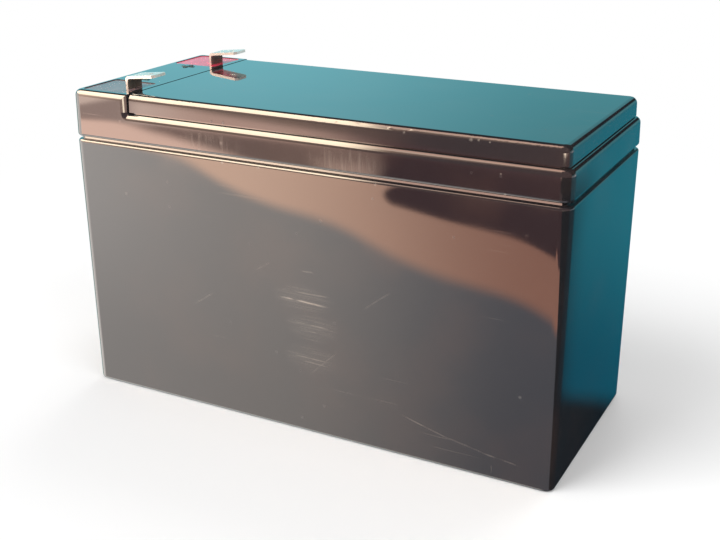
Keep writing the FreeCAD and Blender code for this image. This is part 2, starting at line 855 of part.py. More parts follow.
def build_cells():
    """Plate groups and separators of the six cells, in series from the front row round to the rear."""
    cells = [(column, -1) for column in range(COLUMNS)]
    cells += [(column, 1) for column in reversed(range(COLUMNS))]
    last = len(cells)
    for number, (column, row) in enumerate(cells, start=1):
        negative_bridge = add_cross_bridge if number == COLUMNS + 1 else add_side_bridge
        positive_bridge = add_cross_bridge if number == COLUMNS else add_side_bridge
        contents = (
            build_plate_group(
                f"negative_group_{number}", -1, NEGATIVE_PLATES, "dims.negative_plate",
                None if number == 1 else negative_bridge,
            ),
            build_plate_group(
                f"positive_group_{number}", 1, POSITIVE_PLATES, "dims.positive_plate",
                None if number == last else positive_bridge,
            ),
            build_separators(f"separators_{number}"),
        )
        across, along = cell_centre(column, row)
        half_turn = FreeCAD.Rotation(FreeCAD.Vector(0, 0, 1), 180 if row > 0 else 0)
        for body in contents:
            body.Placement = FreeCAD.Placement(FreeCAD.Vector(), half_turn)
            body.setExpression("Placement.Base.x", across)
            body.setExpression("Placement.Base.y", along)
            sub_parts.append(body)


# Checks and files

def check_document():
    """Stops if any object failed or any sub-part is not a valid solid."""
    doc.recompute()
    for item in doc.Objects:
        if "Invalid" in item.State or "Error" in item.State:
            raise ValueError(f"{item.Label} failed: {item.State}")
    for item in sub_parts:
        if item.Shape.isNull() or not item.Shape.isValid() or not item.Shape.Solids:
            raise ValueError(f"{item.Label} is not a valid solid")


def write_parts():
    """Writes one file for each sub-part."""
    os.makedirs("parts", exist_ok=True)
    for item in sub_parts:
        item.Shape.exportStep(f"parts/{item.Label}.step")


fill_sheet()
build_case()
build_lid()
build_lid_seal()
build_vent_cover()
build_valve_caps()
build_terminals()
build_cells()
check_document()
write_parts()
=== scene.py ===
"""Dressed scene of a sealed lead-acid battery: gloss black case and lid, potted blade terminals.

Metres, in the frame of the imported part: X along the length with the terminals at its low end, Y from
front to rear, Z up, origin at the middle of the base.
"""
import json
import logging
import math
from dataclasses import dataclass
from enum import Enum
from typing import Mapping, Sequence, Union

import bmesh
import bpy
from mathutils import Matrix, Vector


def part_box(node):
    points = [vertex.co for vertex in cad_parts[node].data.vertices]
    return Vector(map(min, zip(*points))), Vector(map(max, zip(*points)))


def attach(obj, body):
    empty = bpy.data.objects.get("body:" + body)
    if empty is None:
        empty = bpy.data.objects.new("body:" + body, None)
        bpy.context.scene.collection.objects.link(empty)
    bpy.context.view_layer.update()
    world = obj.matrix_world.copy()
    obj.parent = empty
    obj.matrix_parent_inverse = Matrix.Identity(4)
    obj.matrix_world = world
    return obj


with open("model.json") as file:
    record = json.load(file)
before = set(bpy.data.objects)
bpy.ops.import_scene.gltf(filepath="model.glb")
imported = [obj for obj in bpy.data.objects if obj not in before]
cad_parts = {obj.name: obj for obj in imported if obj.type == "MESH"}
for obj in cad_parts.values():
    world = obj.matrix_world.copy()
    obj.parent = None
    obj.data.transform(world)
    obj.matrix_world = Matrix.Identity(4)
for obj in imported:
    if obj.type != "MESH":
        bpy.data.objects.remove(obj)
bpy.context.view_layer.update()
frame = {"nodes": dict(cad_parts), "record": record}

BODY = "root"
MM = 0.001
NEAR = 1e-6
SQUARE = 0.9

LOG = logging.getLogger("battery")

Colour = tuple[float, float, float]
Point = tuple[float, float, float]
Span = tuple[float, float]
Feed = Union["Wire", float, Sequence[float]]

BLACK: Colour = (0.0, 0.0, 0.0)
WHITE: Colour = (1.0, 1.0, 1.0)


class Wire:
    """Output socket of a shader node; arithmetic on it adds Math nodes to its graph."""

    def __init__(self, graph: "Graph", socket: bpy.types.NodeSocket) -> None:
        """Keeps the socket and the graph that new nodes go into."""
        self.graph = graph
        self.socket = socket

    def out(self, name: str) -> "Wire":
        """Another output of the same node."""
        return Wire(self.graph, self.socket.node.outputs[name])

    def maths(self, operation: str, *feeds: Feed) -> "Wire":
        """Math node of this wire and further feeds."""
        return self.graph.node("ShaderNodeMath", {"operation": operation}, dict(enumerate((self, *feeds))))

    def maths_after(self, operation: str, first: float) -> "Wire":
        """Math node of a number on the left and this wire."""
        return self.graph.node("ShaderNodeMath", {"operation": operation}, {0: first, 1: self})

    def __add__(self, other: Feed) -> "Wire":
        """Sum."""
        return self.maths("ADD", other)

    def __radd__(self, other: float) -> "Wire":
        """Sum with a number on the left."""
        return self.maths_after("ADD", other)

    def __sub__(self, other: Feed) -> "Wire":
        """Difference."""
        return self.maths("SUBTRACT", other)

    def __rsub__(self, other: float) -> "Wire":
        """Difference from a number on the left."""
        return self.maths_after("SUBTRACT", other)

    def __mul__(self, other: Feed) -> "Wire":
        """Product."""
        return self.maths("MULTIPLY", other)

    def __rmul__(self, other: float) -> "Wire":
        """Product with a number on the left."""
        return self.maths_after("MULTIPLY", other)

    def __truediv__(self, other: Feed) -> "Wire":
        """Quotient."""
        return self.maths("DIVIDE", other)

    def __rtruediv__(self, other: float) -> "Wire":
        """Quotient of a number on the left."""
        return self.maths_after("DIVIDE", other)

    def __abs__(self) -> "Wire":
        """Size without its sign."""
        return self.maths("ABSOLUTE")

    def larger(self, other: Feed) -> "Wire":
        """Larger of two values."""
        return self.maths("MAXIMUM", other)

    def smaller(self, other: Feed) -> "Wire":
        """Smaller of two values."""
        return self.maths("MINIMUM", other)

    def rise(self, low: float, high: float) -> "Wire":
        """Smooth step from 0 at low to 1 at high.

        Args:
            low: Value at which the step leaves 0.
            high: Value at which the step reaches 1; a high below low gives a falling step.

        Returns:
            Wire between 0 and 1.
        """
        start, end = min(low, high), max(low, high)
        step = self.graph.node(
            "ShaderNodeMapRange",
            {"interpolation_type": "SMOOTHSTEP"},
            {"Value": self, "From Min": start, "From Max": end},
        )
        return step if low < high else 1.0 - step


class Graph:
    """Node tree of one material or world, filled by code."""

    def __init__(self, owner: Union[bpy.types.Material, bpy.types.World]) -> None:
        """Starts an empty tree on a material or a world."""
        owner.use_nodes = True
        self.tree = owner.node_tree
        self.tree.nodes.clear()

    def node(
        self,
        kind: str,
        settings: Mapping[str, object] | None = None,
        inputs: Mapping[Union[str, int], Feed] | None = None,
    ) -> Wire:
        """Adds one node.

        Args:
            kind: Node type.
            settings: Properties of the node, set before its sockets.
            inputs: Values or wires for its sockets, by name or index.

        Returns:
            Wire of its first output that is in use, or of no output for an output node.
        """
        made = self.tree.nodes.new(kind)
        for name, setting in (settings or {}).items():
            setattr(made, name, setting)
        for key, feed in (inputs or {}).items():
            self._connect(made, key, feed)
        outputs = [socket for socket in made.outputs if socket.enabled]
        return Wire(self, outputs[0] if outputs else None)

    def _connect(self, made: bpy.types.Node, key: Union[str, int], feed: Feed) -> None:
        """Links a wire to a socket or sets the socket's value."""
        if isinstance(key, str):
            socket = next(item for item in made.inputs if item.name == key and item.enabled)
        else:
            socket = made.inputs[key]
        if isinstance(feed, Wire):
            self.tree.links.new(feed.socket, socket)
        elif socket.type == "RGBA" and len(feed) == 3:
            socket.default_value = (*feed, 1.0)
        else:
            socket.default_value = feed

    def place(self) -> Wire:
        """Object coordinates."""
        return self.node("ShaderNodeTexCoord").out("Object")

    def split(self, vector: Wire) -> tuple[Wire, Wire, Wire]:
        """Three components of a vector."""
        parts = self.node("ShaderNodeSeparateXYZ", inputs={0: vector})
        return parts.out("X"), parts.out("Y"), parts.out("Z")

    def stretched(self, vector: Wire, scale: Point, turn: Point = (0.0, 0.0, 0.0)) -> Wire:
        """Coordinates turned and scaled for a pattern."""
        return self.node("ShaderNodeMapping", inputs={"Vector": vector, "Rotation": turn, "Scale": scale})

    def noise(self, vector: Wire, scale: float, detail: float = 2.0, roughness: float = 0.5) -> Wire:
        """Noise between 0 and 1.

        Args:
            vector: Coordinates to read.
            scale: Blobs to the metre.
            detail: Octaves added to the first.
            roughness: Share of the finer octaves.

        Returns:
            Wire of the noise value.
        """
        return self.node(
            "ShaderNodeTexNoise",
            inputs={"Vector": vector, "Scale": scale, "Detail": detail, "Roughness": roughness},
        )

    def spots(self, vector: Wire, scale: float, size: Span, chance: Span) -> Wire:
        """Round spots, one to a cell of a random net, of which only some are kept.

        Args:
            vector: Coordinates to read.
            scale: Cells to the metre.
            size: Shares of a cell at which a spot ends and is whole.
            chance: Random values from which a spot starts to show and is whole.

        Returns:
            Wire between 0 and 1.
        """
        cells = self.node(
            "ShaderNodeTexVoronoi", inputs={"Vector": vector, "Scale": scale, "Randomness": 1.0}
        )
        luck, _, _ = self.split(cells.out("Color"))
        return cells.out("Distance").rise(*size) * luck.rise(*chance)

    def blend(self, share: Feed, low: Feed, high: Feed) -> Wire:
        """Colour between two colours.

        Args:
            share: 0 for the low colour, 1 for the high one.
            low: Colour at 0.
            high: Colour at 1.

        Returns:
            Wire of the mixed colour.
        """
        return self.node(
            "ShaderNodeMix", {"data_type": "RGBA"}, {"Factor": share, "A": low, "B": high}
        )

    def bump(self, height: Wire, depth: float) -> Wire:
        """Normal of a surface with a height field of a given depth in metres."""
        return self.node("ShaderNodeBump", inputs={"Height": height, "Distance": depth, "Strength": 1.0})

    def surface(self, inputs: Mapping[str, Feed]) -> None:
        """Principled surface with the given sockets, as the tree's output."""
        shader = self.node("ShaderNodeBsdfPrincipled", inputs=inputs)
        self.node("ShaderNodeOutputMaterial", inputs={"Surface": shader})


def new_graph(name: str) -> tuple[bpy.types.Material, Graph]:
    """Empty material and its graph."""
    material = bpy.data.materials.new(name)
    return material, Graph(material)


# Finishes

@dataclass(frozen=True)
class Scratch:
    """Straight scratch on the front wall, between two places in millimetres along X and Z."""

    start: tuple[float, float]
    end: tuple[float, float]
    width: float
    depth: float


class Grain(Enum):
    """Way that fine scratches run, as the stretch of their pattern along X, Y and Z."""

    LEVEL = (70.0, 60.0, 1700.0)
    UPRIGHT = (800.0, 60.0, 110.0)


@dataclass(frozen=True)
class Rub:
    """Rubbed place of fine scratches on the front wall, in millimetres along X and Z."""

    centre: tuple[float, float]
    size: tuple[float, float]
    grain: Grain
    depth: float


@dataclass(frozen=True)
class Nick:
    """Small chip on an edge, in millimetres."""

    place: Point
    size: float


CASE_RUBS = (
    Rub((1.5, 41.6), (11.0, 4.6), Grain.LEVEL, 0.20),
    Rub((4.0, 33.2), (9.5, 5.0), Grain.LEVEL, 0.22),
    Rub((3.5, 23.8), (10.0, 5.0), Grain.LEVEL, 0.16),
)
LID_RUBS = (
    Rub((-27.0, 82.2), (13.0, 4.2), Grain.UPRIGHT, 0.13),
    Rub((15.0, 82.4), (14.0, 4.4), Grain.UPRIGHT, 0.17),
)
CASE_NICKS = (
    Nick((23.8, -32.4, 77.4), 0.7),
    Nick((75.0, -31.9, 60.0), 0.6),
)
LID_NICKS = (
    Nick((57.6, -32.4, 84.6), 0.45),
    Nick((58.9, -32.4, 79.6), 0.6),
)
COVER_NICKS = (
    Nick((31.1, -31.0, 91.5), 0.6),
    Nick((49.1, -31.0, 91.7), 0.8),
    Nick((51.0, -31.0, 91.9), 0.6),
    Nick((54.0, -31.0, 91.7), 0.5),
)
FRONT_SCRATCHES = (
    Scratch((-7.3, 40.9), (9.9, 40.4), 0.44, 0.75),
    Scratch((-2.5, 43.3), (10.5, 43.4), 0.34, 0.28),
    Scratch((0.5, 49.7), (5.6, 49.8), 0.34, 0.18),
    Scratch((-2.8, 34.1), (10.3, 33.8), 0.36, 0.34),
    Scratch((-0.5, 31.8), (6.3, 31.9), 0.36, 0.26),
    Scratch((-3.2, 23.8), (10.7, 23.5), 0.36, 0.36),
    Scratch((-0.2, 22.5), (9.6, 22.1), 0.34, 0.24),
    Scratch((-37.2, 32.1), (-28.0, 38.1), 0.36, 0.16),
    Scratch((-14.1, 47.2), (-8.7, 50.8), 0.36, 0.12),
    Scratch((19.1, 41.1), (28.9, 48.7), 0.36, 0.11),
    Scratch((2.5, 18.1), (12.5, 28.0), 0.40, 0.14),
    Scratch((31.0, 13.0), (47.5, 8.5), 0.28, 0.30),
    Scratch((43.0, 9.7), (58.0, 6.9), 0.28, 0.16),
    Scratch((54.5, 7.4), (66.5, 5.9), 0.26, 0.26),
    Scratch((58.3, 4.4), (58.4, 1.7), 0.26, 0.22),
)


@dataclass(frozen=True)
class GlossPlastic:
    """Black moulded plastic: glossy, slightly wavy, with fine scratches, specks and rubbed places."""

    base: Colour = (0.016, 0.016, 0.018)
    scuff: Colour = (0.42, 0.35, 0.29)
    dust: Colour = (0.30, 0.28, 0.26)
    film: Colour = (0.029, 0.021, 0.020)
    roughness: float = 0.03
    smear_roughness: float = 0.025
    scuff_roughness: float = 0.32
    ior: float = 1.6
    coat_roughness: float = 0.015
    coat_loss: float = 0.6
    smear_scale: float = 38.0
    smear_span: Span = (0.42, 0.72)
    wave_scale: float = 26.0
    wave_depth: float = 0.00010
    grain_scale: float = 1400.0
    grain_rise: float = 0.004
    mark_sink: float = 0.05
    speck_rise: float = 0.06
    speck_scale: float = 260.0
    speck_size: Span = (0.17, 0.04)
    speck_chance: Span = (0.86, 0.96)
    speck_share: float = 0.36
    dust_share: float = 0.6
    hair_stretch: Point = (26.0, 1300.0, 1300.0)
    hair_turns: tuple[Point, ...] = ((0.3, 0.5, 0.2), (1.1, -0.7, 0.9), (-0.6, 0.2, 1.6))
    hair_span: Span = (0.77, 0.84)
    hair_share: float = 0.14
    patch_scale: float = 30.0
    patch_span: Span = (0.56, 0.74)
    front_span: Span = (-31.0 * MM, -31.8 * MM)
    wobble_scale: float = 120.0
    wobble: float = 0.5
    break_stretch: Point = (240.0, 60.0, 500.0)
    break_span: Span = (0.20, 0.62)
    line_fade: float = 0.3
    line_core: float = 0.1
    chip_scale: float = 1900.0
    chip_span: Span = (1.3, 0.6)
    chip_share: float = 0.35
    rub_span: Span = (0.40, 0.80)
    rub_veil: float = 0.15
    scratches: tuple[Scratch, ...] = ()
    rubs: tuple[Rub, ...] = ()
    nicks: tuple[Nick, ...] = ()

    def make(self, name: str) -> bpy.types.Material:
        """Builds the material.

        Args:
            name: Name of the material.

        Returns:
            The finished material.
        """
        material, graph = new_graph(name)
        place = graph.place()
        marks = self._hairlines(graph, place).larger(self._front_marks(graph, place))
        specks = graph.spots(place, self.speck_scale, self.speck_size, self.speck_chance) * self.speck_share
        worn = marks.larger(specks)
        smears = graph.noise(place, self.smear_scale, 3.0).rise(*self.smear_span)
        tone = graph.blend(smears, self.base, self.film)
        tone = graph.blend(specks * self.dust_share, tone, self.dust)
        tone = graph.blend(marks, tone, self.scuff)
        waves = graph.noise(place, self.wave_scale, 1.0)
        grain = graph.noise(place, self.grain_scale, 1.0)
        height = waves + grain * self.grain_rise - marks * self.mark_sink + specks * self.speck_rise
        graph.surface({
            "Base Color": tone,
            "Roughness": smears * self.smear_roughness + self.roughness + worn * self.scuff_roughness,
            "Normal": graph.bump(height, self.wave_depth),
            "IOR": self.ior,
            "Coat Weight": 1.0 - worn * self.coat_loss,
            "Coat Roughness": self.coat_roughness,
        })
        return material

    def _hairlines(self, graph: Graph, place: Wire) -> Wire:
        """Sparse fine scratches in three directions, in patches."""
        patches = graph.noise(place, self.patch_scale, 1.0).rise(*self.patch_span)
        lines = None
        for turn in self.hair_turns:
            threads = graph.noise(graph.stretched(place, self.hair_stretch, turn), 1.0, 0.0)
            thread = threads.rise(*self.hair_span)
            lines = thread if lines is None else lines.larger(thread)
        return lines * patches * self.hair_share

    def _front_marks(self, graph: Graph, place: Wire) -> Wire:
        """Scratches, rubbed places and nicks of the front."""
        across, along, up = graph.split(place)
        front = along.rise(*self.front_span)
        across, up = across * (1.0 / MM), up * (1.0 / MM)
        wobble = (graph.noise(place, self.wobble_scale, 1.0) - 0.5) * self.wobble
        breaks = graph.noise(graph.stretched(place, self.break_stretch), 1.0, 1.0).rise(*self.break_span)
        marks = front * 0.0
        for scratch in self.scratches:
            marks = marks.larger(self._line(across, up + wobble, scratch) * breaks)
        for rub in self.rubs:
            marks = marks.larger(self._rubbing(graph, place, across, up, rub))
        marks = marks * front
        for nick in self.nicks:
            marks = marks.larger(self._chip(graph, place, nick))
        return marks

    def _chip(self, graph: Graph, place: Wire, nick: Nick) -> Wire:
        """One ragged chip on an edge."""
        size = nick.size * MM
        middle = Vector(nick.place) * MM
        away = graph.node("ShaderNodeVectorMath", {"operation": "DISTANCE"}, {0: place, 1: middle})
        ragged = graph.noise(place, self.chip_scale, 1.0) * size
        outside, inside = self.chip_span
        return (away + ragged).rise(outside * size, inside * size) * self.chip_share

    def _line(self, across: Wire, up: Wire, scratch: Scratch) -> Wire:
        """One scratch, thin at its ends.

        Args:
            across: Millimetres along X.
            up: Millimetres along Z.
            scratch: Where it runs, how wide and how deep it is.

        Returns:
            Wire between 0 and the scratch's depth.
        """
        run = Vector(scratch.end) - Vector(scratch.start)
        length = run.length
        step = run / length
        from_x = across - scratch.start[0]
        from_z = up - scratch.start[1]
        run_along = from_x * step.x + from_z * step.y
        run_aside = abs(from_x * step.y - from_z * step.x)
        fade = self.line_fade * length
        ends = run_along.rise(0.0, fade) * run_along.rise(length, length - fade)
        return run_aside.rise(scratch.width, self.line_core * scratch.width) * ends * scratch.depth

    def _rubbing(self, graph: Graph, place: Wire, across: Wire, up: Wire, rub: Rub) -> Wire:
        """One rubbed place of fine scratches.

        Args:
            graph: Graph of the material.
            place: Object coordinates.
            across: Millimetres along X.
            up: Millimetres along Z.
            rub: Where it is, how large, and which way its scratches run.

        Returns:
            Wire between 0 and the rub's depth.
        """
        from_x = (across - rub.centre[0]) * (1.0 / rub.size[0])
        from_z = (up - rub.centre[1]) * (1.0 / rub.size[1])
        inside = (from_x * from_x + from_z * from_z).rise(1.0, 0.0)
        threads = graph.noise(graph.stretched(place, rub.grain.value), 1.0, 2.0).rise(*self.rub_span)
        return (threads * (1.0 - self.rub_veil) + self.rub_veil) * inside * rub.depth


@dataclass(frozen=True)
class TinPlate:
    """Satin tin-plated strip, faintly brushed, with dull patches and painted shade in dark brown on the
    leg's inner face under the blade.
    """

    bright: Colour = (0.90, 0.87, 0.80)
    dull: Colour = (0.76, 0.72, 0.63)
    # painted shade: the leg's inner face below the blade is darkened and made less metallic, standing in
    # for the blade's shadow
    painted_leg_shade: Colour = (0.10, 0.068, 0.045)
    painted_shade_from: Span = (-60.90 * MM, -60.80 * MM)
    painted_shade_below: Span = (95.7 * MM, 95.1 * MM)
    painted_shade_share: float = 0.9
    metallic: float = 0.45
    painted_shade_metallic_loss: float = 0.5
    roughness: float = 0.16
    brush_roughness: float = 0.08
    patch_roughness: float = 0.10
    patch_scale: float = 320.0
    patch_span: Span = (0.45, 0.75)
    patch_rise: float = 0.6
    brush_stretch: Point = (120.0, 5200.0, 900.0)
    relief: float = 0.000003

    def make(self, name: str) -> bpy.types.Material:
        """Builds the material."""
        material, graph = new_graph(name)
        place = graph.place()
        across, _, up = graph.split(place)
        patches = graph.noise(place, self.patch_scale, 3.0).rise(*self.patch_span)
        brushed = graph.noise(graph.stretched(place, self.brush_stretch), 1.0, 2.0)
        # inner: the leg's inner face below the blade, where the painted shade goes
        inner = across.rise(*self.painted_shade_from) * up.rise(*self.painted_shade_below)
        tone = graph.blend(patches, self.bright, self.dull)
        graph.surface({
            "Base Color": graph.blend(inner * self.painted_shade_share, tone, self.painted_leg_shade),
            "Metallic": (1.0 - inner * self.painted_shade_metallic_loss) * self.metallic,
            "Roughness": brushed * self.brush_roughness + patches * self.patch_roughness + self.roughness,
            "Normal": graph.bump(brushed + patches * self.patch_rise, self.relief),
        })
        return material


@dataclass(frozen=True)
class Resin:
    """Potting resin, poured by hand: a cloudy body under an uneven glossy skin with a few bubbles."""

    base: Colour
    pale: Colour
    roughness: float = 0.22
    cloud_roughness: float = 0.10
    cloud_scale: float = 210.0
    cloud_span: Span = (0.25, 0.85)
    bubble_scale: float = 620.0
    bubble_size: Span = (0.26, 0.10)
    bubble_chance: Span = (0.95, 0.98)
    bubble_sink: float = 0.10
    ripple: float = 0.00003
    body_gloss: float = 0.1
    coat: float = 0.7
    coat_roughness: float = 0.05

    def make(self, name: str) -> bpy.types.Material:
        """Builds the material."""
        material, graph = new_graph(name)
        place = graph.place()
        clouds = graph.noise(place, self.cloud_scale, 1.0)
        bubbles = graph.spots(place, self.bubble_scale, self.bubble_size, self.bubble_chance)
        graph.surface({
            "Base Color": graph.blend(clouds.rise(*self.cloud_span), self.base, self.pale),
            "Roughness": clouds * self.cloud_roughness + self.roughness,
            "Normal": graph.bump(clouds - bubbles * self.bubble_sink, self.ripple),
            "Specular IOR Level": self.body_gloss,
            "Coat Weight": self.coat,
            "Coat Roughness": self.coat_roughness,
        })
        return material


class Weave(Enum):
    """Grain of a plain material, in blobs to the metre."""

    CRUMBLY = 620.0
    SMOOTH = 180.0
    CAST = 300.0
    FIBROUS = 1500.0


@dataclass(frozen=True)
class PlainStuff:
    """Plain material with two tones, a grain and a roughness."""

    base: Colour
    mottled: Colour
    roughness: float
    grain: Weave
    metallic: float = 0.0
    mottle_span: Span = (0.35, 0.70)
    grain_roughness: float = 0.2
    relief: float = 0.00008

    def make(self, name: str) -> bpy.types.Material:
        """Builds the material."""
        material, graph = new_graph(name)
        grain = graph.noise(graph.place(), self.grain.value, 4.0, 0.6)
        graph.surface({
            "Base Color": graph.blend(grain.rise(*self.mottle_span), self.base, self.mottled),
            "Metallic": self.metallic,
            "Roughness": grain * self.grain_roughness + self.roughness,
            "Normal": graph.bump(grain, self.relief),
        })
        return material


# Modelling by operators

def start_block(name: str, centre: Point, size: Point) -> bpy.types.Object:
    """Adds a block with its place and size in its mesh.

    Args:
        name: Name of the new object.
        centre: Middle of the block.
        size: Full lengths along X, Y and Z.

    Returns:
        The new object, active and selected.
    """
    bpy.ops.object.select_all(action="DESELECT")
    bpy.ops.mesh.primitive_cube_add(size=1.0, location=centre)
    block = bpy.context.active_object
    block.name = name
    block.data.name = name
    block.scale = size
    bpy.ops.object.transform_apply(location=True, rotation=True, scale=True)
    return block


def pick_face(piece: bpy.types.Object, middle: Vector, way: Vector) -> None:
    """Selects the face of the piece in edit mode that a line from its middle meets squarely.

    Args:
        piece: Object in edit mode.
        middle: Start of the line.
        way: Unit direction of the line.
    """
    bpy.ops.mesh.select_all(action="DESELECT")
    mesh = bmesh.from_edit_mesh(piece.data)
    for face in mesh.faces:
        reach = face.calc_center_median() - middle
        aside = (reach - way * reach.dot(way)).length
        face.select_set(face.normal.dot(way) > SQUARE and aside < NEAR)
    mesh.select_flush(True)
    bmesh.update_edit_mesh(piece.data)


def pick_rim(piece: bpy.types.Object, level: float) -> None:
    """Selects the edges of the piece in edit mode that lie flat at a height and turn a corner."""
    bpy.ops.mesh.select_all(action="DESELECT")
    bpy.ops.mesh.select_mode(type="EDGE")
    mesh = bmesh.from_edit_mesh(piece.data)
    for edge in mesh.edges:
        flat = all(abs(vertex.co.z - level) < NEAR for vertex in edge.verts)
        edge.select_set(flat and edge.calc_face_angle(0.0) > SQUARE)
    bmesh.update_edit_mesh(piece.data)


# Sub-assemblies

def dress(node: str, material: bpy.types.Material) -> None:
    """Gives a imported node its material."""
    mesh = frame["nodes"][node].data
    mesh.materials.clear()
    mesh.materials.append(material)
    LOG.info("%s: %s", node, material.name)


class Polarity(Enum):
    """Sign of a terminal, by the side of the battery that it is on."""

    NEGATIVE = -1
    POSITIVE = 1


@dataclass
class Shell:
    """Case, lid and vent cover in the same gloss plastic."""

    case: GlossPlastic = GlossPlastic(scratches=FRONT_SCRATCHES, rubs=CASE_RUBS, nicks=CASE_NICKS)
    lid: GlossPlastic = GlossPlastic(rubs=LID_RUBS, nicks=LID_NICKS)
    cover: GlossPlastic = GlossPlastic(nicks=COVER_NICKS)

    def build(self) -> None:
        """Dresses the three mouldings, each with its own wear."""
        dress("case", self.case.make("case_plastic"))
        dress("lid", self.lid.make("lid_plastic"))
        dress("vent_cover", self.cover.make("cover_plastic"))


@dataclass
class Terminal:
    """One tab in its potting, with the moulded sign beside it."""

    polarity: Polarity
    resin: Resin
    tin: TinPlate = TinPlate()
    paint: PlainStuff = PlainStuff((0.018, 0.050, 0.055), (0.028, 0.065, 0.070), 0.55, Weave.SMOOTH)
    sign_length: float = 4.4 * MM
    sign_width: float = 1.05 * MM
    sign_rise: float = 0.14 * MM
    sign_round: float = 0.10 * MM
    sign_gap: float = 0.9 * MM
    smooth_below: float = math.radians(40)

    @property
    def word(self) -> str:
        """Start of the names of this terminal's pieces."""
        return self.polarity.name.lower()

    def build(self) -> None:
        """Dresses the tab and the potting and adds the sign."""
        dress(f"{self.word}_tab", self.tin.make(f"{self.word}_tin"))
        dress(f"{self.word}_seal", self.resin.make(f"{self.word}_resin"))
        self._add_sign()

    def _sign_place(self) -> Vector:
        """Middle of the sign, on the lid's top between the potting and the middle of the block."""
        low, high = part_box(f"{self.word}_seal")
        side = self.polarity.value
        inner = low.y if side > 0 else high.y
        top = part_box("lid")[1].z
        return Vector(((low.x + high.x) / 2, inner - side * (self.sign_gap + self.sign_length / 2), top))

    def _add_sign(self) -> None:
        """Models the raised sign: a middle block with arms drawn out of its sides, its top rounded."""
        name = f"{self.word}_sign"
        place = self._sign_place()
        bar = self.sign_width
        arm = (self.sign_length - bar) / 2
        sign = start_block(name, place, (bar, bar, 2 * self.sign_rise))
        ways = [Vector((1, 0, 0)), Vector((-1, 0, 0))]
        if self.polarity is Polarity.POSITIVE:
            ways += [Vector((0, 1, 0)), Vector((0, -1, 0))]
        bpy.ops.object.mode_set(mode="EDIT")
        for way in ways:
            bpy.ops.mesh.select_mode(type="FACE")
            pick_face(sign, place, way)
            bpy.ops.mesh.extrude_region_move(TRANSFORM_OT_translate={"value": way * arm})
        pick_rim(sign, place.z + self.sign_rise)
        bpy.ops.mesh.bevel(offset=self.sign_round, segments=3, affect="EDGES")
        bpy.ops.object.mode_set(mode="OBJECT")
        bpy.ops.object.shade_smooth_by_angle(angle=self.smooth_below)
        sign.data.materials.append(self.paint.make(f"{self.word}_sign_paint"))
        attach(sign, BODY)
        LOG.info("%s: modelled", name)


@dataclass
class Cells:
    """What is sealed inside: cement, caps, lead and glass mats."""

    cement: PlainStuff = PlainStuff((0.30, 0.28, 0.24), (0.22, 0.20, 0.17), 0.7, Weave.CRUMBLY)
    rubber: PlainStuff = PlainStuff((0.030, 0.030, 0.030), (0.045, 0.045, 0.045), 0.6, Weave.SMOOTH)
    lead: PlainStuff = PlainStuff((0.33, 0.34, 0.36), (0.22, 0.23, 0.25), 0.5, Weave.CAST, 0.8)
    mat: PlainStuff = PlainStuff((0.88, 0.88, 0.86), (0.78, 0.78, 0.75), 0.8, Weave.FIBROUS)

    def build(self) -> None:
        """Dresses every inner node by the slot that the record gives it."""
        stuffs = {
            "cement": self.cement.make("cement"),
            "cap_rubber": self.rubber.make("cap_rubber"),
            "lead": self.lead.make("lead"),
            "glass_mat": self.mat.make("glass_mat"),
        }
        for row in frame["record"]["subparts"]:
            if row["material_slot"] in stuffs:
                dress(row["node"], stuffs[row["material_slot"]])


# Stage

@dataclass
class Viewpoint:
    """Camera of the photograph, from the angle, distance and framing that fit the outline."""

    azimuth: float = math.radians(27.758)
    elevation: float = math.radians(21.102)
    roll: float = math.radians(-0.336)
    distance: float = 330.233 * MM
    aim: Point = (0.0, 0.0, 47.0 * MM)
    aside: float = -1.966 * MM
    above: float = 7.762 * MM
    focal_pixels: float = 1102.768
    image_width: float = 720.0
    sensor: float = 36.0
    nearest: float = 10.0 * MM

    def build(self) -> None:
        """Adds the camera and makes it the scene's."""
        back = Vector((
            math.sin(self.azimuth) * math.cos(self.elevation),
            -math.cos(self.azimuth) * math.cos(self.elevation),
            math.sin(self.elevation),
        ))
        level = Vector((math.cos(self.azimuth), math.sin(self.azimuth), 0.0))
        upright = back.cross(level)
        right = level * math.cos(self.roll) + upright * math.sin(self.roll)
        up = upright * math.cos(self.roll) - level * math.sin(self.roll)
        place = Vector(self.aim) - right * self.aside - up * self.above + back * self.distance
        camera = bpy.data.cameras.new("camera")
        camera.sensor_fit = "HORIZONTAL"
        camera.sensor_width = self.sensor
        camera.lens = self.focal_pixels * self.sensor / self.image_width
        camera.clip_start = self.nearest
        holder = bpy.data.objects.new("camera", camera)
        axes = Matrix((right, up, back)).transposed().to_4x4()
        holder.matrix_world = Matrix.Translation(place) @ axes
        bpy.context.scene.collection.objects.link(holder)
        bpy.context.scene.camera = holder


@dataclass(frozen=True)
class Lamp:
    """Soft square lamp that looks at the battery."""

    name: str
    place: Point
    size: float
    watts: float
    target: Point = (0.0, 0.0, 40.0 * MM)

    def build(self) -> None:
        """Adds the lamp."""
        light = bpy.data.lights.new(self.name, "AREA")
        light.size = self.size
        light.energy = self.watts
        holder = bpy.data.objects.new(self.name, light)
        toward = Vector(self.target) - Vector(self.place)
        turn = toward.to_track_quat("-Z", "Y").to_matrix().to_4x4()
        holder.matrix_world = Matrix.Translation(self.place) @ turn
        holder.visible_glossy = False
        bpy.context.scene.collection.objects.link(holder)


@dataclass(frozen=True)
class Slant:
    """Straight edge of a board, whose height changes with the direction aside."""

    start: float
    lean: float
    level: float

    def at(self, aside: Wire) -> Wire:
        """Height of the edge."""
        return (aside - self.start) * self.lean + self.level


